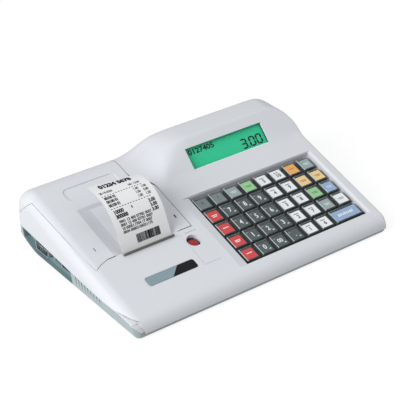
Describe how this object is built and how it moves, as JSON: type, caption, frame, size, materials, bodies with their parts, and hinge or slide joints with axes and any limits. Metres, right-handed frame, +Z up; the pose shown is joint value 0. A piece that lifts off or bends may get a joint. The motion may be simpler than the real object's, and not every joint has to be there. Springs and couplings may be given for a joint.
{
  "type": "ticket register",
  "caption": "Table-top register with a sloping case, a raised display, a keyboard of square keys and a lidded ticket printer beside it.",
  "frame": {"origin": "middle of the footprint at table level, under the rubber feet", "axes": "+X to the operator's right along the case, +Y away from the operator towards the customer, +Z up"},
  "size_m": [0.312, 0.2038, 0.0819],
  "materials": {
    "shell": "fine satin moulding, light grey-white",
    "base_moulding": "matt moulding, grey-green",
    "steel": "plain drawn steel",
    "frame_moulding": "matt moulding, dark grey",
    "platen_rubber": "ground rubber",
    "head_metal": "machined, with a glazed strip",
    "paper": "thermal paper, smooth",
    "button_red": "glossy red moulding",
    "window": "clear acrylic",
    "lcd": "backlit liquid crystal glass, green",
    "plate": "matt moulding, near black",
    "board": "coated circuit board",
    "foot_rubber": "soft rubber",
    "key_slate": "coloured card under a clear cap",
    "key_grey": "coloured card under a clear cap",
    "key_green": "coloured card under a clear cap",
    "key_white": "coloured card under a clear cap",
    "key_orange": "coloured card under a clear cap",
    "key_red": "coloured card under a clear cap",
    "key_dark": "coloured card under a clear cap",
    "key_pale_orange": "coloured card under a clear cap",
    "key_blue": "coloured card under a clear cap"
  },
  "bodies": {
    "base": {"top_case": "shell", "bottom_case": "base_moulding", "hinge_rod": "steel", "printer_frame": "frame_moulding", "feed_motor": "steel", "thermal_head": "head_metal", "display_window": "window", "display_module": "lcd", "customer_window": "window", "customer_module": "lcd", "key_plate": "plate", "main_board": "board", "port_board": "board", "feet": "foot_rubber", "case_screws": "steel"},
    "lid": {"printer_lid": "shell", "receipt_strip": "paper"},
    "button": {"release_button": "button_red"},
    "roll": {"paper_roll": "paper"},
    "platen": {"platen_roller": "platen_rubber"},
    "pinion": {"motor_pinion": "steel"},
    "key_r1c1_body": {"key_r1c1": "key_slate"},
    "key_r1c2_body": {"key_r1c2": "key_slate"},
    "key_r1c3_body": {"key_r1c3": "key_grey"},
    "key_r1c4_body": {"key_r1c4": "key_green"},
    "key_r1c5_body": {"key_r1c5": "key_white"},
    "key_r1c6_body": {"key_r1c6": "key_white"},
    "key_r1c7_body": {"key_r1c7": "key_orange"},
    "key_r1c8_body": {"key_r1c8": "key_grey"},
    "key_r2c1_body": {"key_r2c1": "key_red"},
    "key_r2c2_body": {"key_r2c2": "key_dark"},
    "key_r2c3_body": {"key_r2c3": "key_dark"},
    "key_r2c4_body": {"key_r2c4": "key_dark"},
    "key_r2c5_body": {"key_r2c5": "key_white"},
    "key_r2c6_body": {"key_r2c6": "key_white"},
    "key_r2c7_body": {"key_r2c7": "key_pale_orange"},
    "key_r2c8_body": {"key_r2c8": "key_pale_orange"},
    "key_r3c1_body": {"key_r3c1": "key_red"},
    "key_r3c2_body": {"key_r3c2": "key_dark"},
    "key_r3c3_body": {"key_r3c3": "key_dark"},
    "key_r3c4_body": {"key_r3c4": "key_dark"},
    "key_r3c5_body": {"key_r3c5": "key_white"},
    "key_r3c6_body": {"key_r3c6": "key_white"},
    "key_r3c7_body": {"key_r3c7": "key_green"},
    "key_r3c8_body": {"key_r3c8": "key_blue"},
    "key_r4c1_body": {"key_r4c1": "key_red"},
    "key_r4c2_body": {"key_r4c2": "key_dark"},
    "key_r4c3_body": {"key_r4c3": "key_dark"},
    "key_r4c4_body": {"key_r4c4": "key_dark"},
    "key_r4c5_body": {"key_r4c5": "key_white"},
    "key_r4c6_body": {"key_r4c6": "key_white"},
    "key_r4c7_body": {"key_r4c7": "key_grey"},
    "key_r4c8_body": {"key_r4c8": "key_white"},
    "key_r5c1_body": {"key_r5c1": "key_red"},
    "key_r5c2_body": {"key_r5c2": "key_dark"},
    "key_r5c3_body": {"key_r5c3": "key_dark"},
    "key_r5c4_body": {"key_r5c4": "key_dark"},
    "key_r5c5_body": {"key_r5c5": "key_white"},
    "key_r5c6_body": {"key_r5c6": "key_white"},
    "key_r5c7_body": {"key_r5c7": "key_blue"}
  },
  "joints": [
    {"name": "lid_hinge", "type": "hinge", "parent": "base", "child": "lid", "pos_m": [-0.098, 0.095, 0.049], "axis": [-1, 0, 0], "range_deg": [0, 85]},
    {"name": "release_press", "type": "slide", "parent": "base", "child": "button", "axis": [0, 0.2807, -0.9598], "range_m": [0, 0.003], "stiffness_N_per_m": 400, "springref_m": -0.001},
    {"name": "roll_turn", "type": "hinge", "parent": "base", "child": "roll", "pos_m": [-0.084, 0.053, 0.0292], "axis": [1, 0, 0], "continuous": true},
    {"name": "platen_turn", "type": "hinge", "parent": "lid", "child": "platen", "pos_m": [-0.084, -0.016, 0.028], "axis": [1, 0, 0], "continuous": true},
    {"name": "pinion_turn", "type": "hinge", "parent": "base", "child": "pinion", "pos_m": [-0.1235, -0.00816, 0.01865], "axis": [1, 0, 0], "continuous": true},
    {"name": "press_r1c1", "type": "slide", "parent": "base", "child": "key_r1c1_body", "axis": [0, 0.2622, -0.965], "range_m": [0, 0.0028], "stiffness_N_per_m": 300, "springref_m": -0.001},
    {"name": "press_r1c2", "type": "slide", "parent": "base", "child": "key_r1c2_body", "axis": [0, 0.2622, -0.965], "range_m": [0, 0.0028], "stiffness_N_per_m": 300, "springref_m": -0.001},
    {"name": "press_r1c3", "type": "slide", "parent": "base", "child": "key_r1c3_body", "axis": [0, 0.2622, -0.965], "range_m": [0, 0.0028], "stiffness_N_per_m": 300, "springref_m": -0.001},
    {"name": "press_r1c4", "type": "slide", "parent": "base", "child": "key_r1c4_body", "axis": [0, 0.2622, -0.965], "range_m": [0, 0.0028], "stiffness_N_per_m": 300, "springref_m": -0.001},
    {"name": "press_r1c5", "type": "slide", "parent": "base", "child": "key_r1c5_body", "axis": [0, 0.2622, -0.965], "range_m": [0, 0.0028], "stiffness_N_per_m": 300, "springref_m": -0.001},
    {"name": "press_r1c6", "type": "slide", "parent": "base", "child": "key_r1c6_body", "axis": [0, 0.2622, -0.965], "range_m": [0, 0.0028], "stiffness_N_per_m": 300, "springref_m": -0.001},
    {"name": "press_r1c7", "type": "slide", "parent": "base", "child": "key_r1c7_body", "axis": [0, 0.2622, -0.965], "range_m": [0, 0.0028], "stiffness_N_per_m": 300, "springref_m": -0.001},
    {"name": "press_r1c8", "type": "slide", "parent": "base", "child": "key_r1c8_body", "axis": [0, 0.2622, -0.965], "range_m": [0, 0.0028], "stiffness_N_per_m": 300, "springref_m": -0.001},
    {"name": "press_r2c1", "type": "slide", "parent": "base", "child": "key_r2c1_body", "axis": [0, 0.2622, -0.965], "range_m": [0, 0.0028], "stiffness_N_per_m": 300, "springref_m": -0.001},
    {"name": "press_r2c2", "type": "slide", "parent": "base", "child": "key_r2c2_body", "axis": [0, 0.2622, -0.965], "range_m": [0, 0.0028], "stiffness_N_per_m": 300, "springref_m": -0.001},
    {"name": "press_r2c3", "type": "slide", "parent": "base", "child": "key_r2c3_body", "axis": [0, 0.2622, -0.965], "range_m": [0, 0.0028], "stiffness_N_per_m": 300, "springref_m": -0.001},
    {"name": "press_r2c4", "type": "slide", "parent": "base", "child": "key_r2c4_body", "axis": [0, 0.2622, -0.965], "range_m": [0, 0.0028], "stiffness_N_per_m": 300, "springref_m": -0.001},
    {"name": "press_r2c5", "type": "slide", "parent": "base", "child": "key_r2c5_body", "axis": [0, 0.2622, -0.965], "range_m": [0, 0.0028], "stiffness_N_per_m": 300, "springref_m": -0.001},
    {"name": "press_r2c6", "type": "slide", "parent": "base", "child": "key_r2c6_body", "axis": [0, 0.2622, -0.965], "range_m": [0, 0.0028], "stiffness_N_per_m": 300, "springref_m": -0.001},
    {"name": "press_r2c7", "type": "slide", "parent": "base", "child": "key_r2c7_body", "axis": [0, 0.2622, -0.965], "range_m": [0, 0.0028], "stiffness_N_per_m": 300, "springref_m": -0.001},
    {"name": "press_r2c8", "type": "slide", "parent": "base", "child": "key_r2c8_body", "axis": [0, 0.2622, -0.965], "range_m": [0, 0.0028], "stiffness_N_per_m": 300, "springref_m": -0.001},
    {"name": "press_r3c1", "type": "slide", "parent": "base", "child": "key_r3c1_body", "axis": [0, 0.2622, -0.965], "range_m": [0, 0.0028], "stiffness_N_per_m": 300, "springref_m": -0.001},
    {"name": "press_r3c2", "type": "slide", "parent": "base", "child": "key_r3c2_body", "axis": [0, 0.2622, -0.965], "range_m": [0, 0.0028], "stiffness_N_per_m": 300, "springref_m": -0.001},
    {"name": "press_r3c3", "type": "slide", "parent": "base", "child": "key_r3c3_body", "axis": [0, 0.2622, -0.965], "range_m": [0, 0.0028], "stiffness_N_per_m": 300, "springref_m": -0.001},
    {"name": "press_r3c4", "type": "slide", "parent": "base", "child": "key_r3c4_body", "axis": [0, 0.2622, -0.965], "range_m": [0, 0.0028], "stiffness_N_per_m": 300, "springref_m": -0.001},
    {"name": "press_r3c5", "type": "slide", "parent": "base", "child": "key_r3c5_body", "axis": [0, 0.2622, -0.965], "range_m": [0, 0.0028], "stiffness_N_per_m": 300, "springref_m": -0.001},
    {"name": "press_r3c6", "type": "slide", "parent": "base", "child": "key_r3c6_body", "axis": [0, 0.2622, -0.965], "range_m": [0, 0.0028], "stiffness_N_per_m": 300, "springref_m": -0.001},
    {"name": "press_r3c7", "type": "slide", "parent": "base", "child": "key_r3c7_body", "axis": [0, 0.2622, -0.965], "range_m": [0, 0.0028], "stiffness_N_per_m": 300, "springref_m": -0.001},
    {"name": "press_r3c8", "type": "slide", "parent": "base", "child": "key_r3c8_body", "axis": [0, 0.2622, -0.965], "range_m": [0, 0.0028], "stiffness_N_per_m": 300, "springref_m": -0.001},
    {"name": "press_r4c1", "type": "slide", "parent": "base", "child": "key_r4c1_body", "axis": [0, 0.2622, -0.965], "range_m": [0, 0.0028], "stiffness_N_per_m": 300, "springref_m": -0.001},
    {"name": "press_r4c2", "type": "slide", "parent": "base", "child": "key_r4c2_body", "axis": [0, 0.2622, -0.965], "range_m": [0, 0.0028], "stiffness_N_per_m": 300, "springref_m": -0.001},
    {"name": "press_r4c3", "type": "slide", "parent": "base", "child": "key_r4c3_body", "axis": [0, 0.2622, -0.965], "range_m": [0, 0.0028], "stiffness_N_per_m": 300, "springref_m": -0.001},
    {"name": "press_r4c4", "type": "slide", "parent": "base", "child": "key_r4c4_body", "axis": [0, 0.2622, -0.965], "range_m": [0, 0.0028], "stiffness_N_per_m": 300, "springref_m": -0.001},
    {"name": "press_r4c5", "type": "slide", "parent": "base", "child": "key_r4c5_body", "axis": [0, 0.2622, -0.965], "range_m": [0, 0.0028], "stiffness_N_per_m": 300, "springref_m": -0.001},
    {"name": "press_r4c6", "type": "slide", "parent": "base", "child": "key_r4c6_body", "axis": [0, 0.2622, -0.965], "range_m": [0, 0.0028], "stiffness_N_per_m": 300, "springref_m": -0.001},
    {"name": "press_r4c7", "type": "slide", "parent": "base", "child": "key_r4c7_body", "axis": [0, 0.2622, -0.965], "range_m": [0, 0.0028], "stiffness_N_per_m": 300, "springref_m": -0.001},
    {"name": "press_r4c8", "type": "slide", "parent": "base", "child": "key_r4c8_body", "axis": [0, 0.2622, -0.965], "range_m": [0, 0.0028], "stiffness_N_per_m": 300, "springref_m": -0.001},
    {"name": "press_r5c1", "type": "slide", "parent": "base", "child": "key_r5c1_body", "axis": [0, 0.2622, -0.965], "range_m": [0, 0.0028], "stiffness_N_per_m": 300, "springref_m": -0.001},
    {"name": "press_r5c2", "type": "slide", "parent": "base", "child": "key_r5c2_body", "axis": [0, 0.2622, -0.965], "range_m": [0, 0.0028], "stiffness_N_per_m": 300, "springref_m": -0.001},
    {"name": "press_r5c3", "type": "slide", "parent": "base", "child": "key_r5c3_body", "axis": [0, 0.2622, -0.965], "range_m": [0, 0.0028], "stiffness_N_per_m": 300, "springref_m": -0.001},
    {"name": "press_r5c4", "type": "slide", "parent": "base", "child": "key_r5c4_body", "axis": [0, 0.2622, -0.965], "range_m": [0, 0.0028], "stiffness_N_per_m": 300, "springref_m": -0.001},
    {"name": "press_r5c5", "type": "slide", "parent": "base", "child": "key_r5c5_body", "axis": [0, 0.2622, -0.965], "range_m": [0, 0.0028], "stiffness_N_per_m": 300, "springref_m": -0.001},
    {"name": "press_r5c6", "type": "slide", "parent": "base", "child": "key_r5c6_body", "axis": [0, 0.2622, -0.965], "range_m": [0, 0.0028], "stiffness_N_per_m": 300, "springref_m": -0.001},
    {"name": "press_r5c7", "type": "slide", "parent": "base", "child": "key_r5c7_body", "axis": [0, 0.2622, -0.965], "range_m": [0, 0.0028], "stiffness_N_per_m": 300, "springref_m": -0.001}
  ],
  "couplings": [
    {"joint": "pinion_turn", "follows": "platen_turn", "ratio": -1.5}
  ]
}
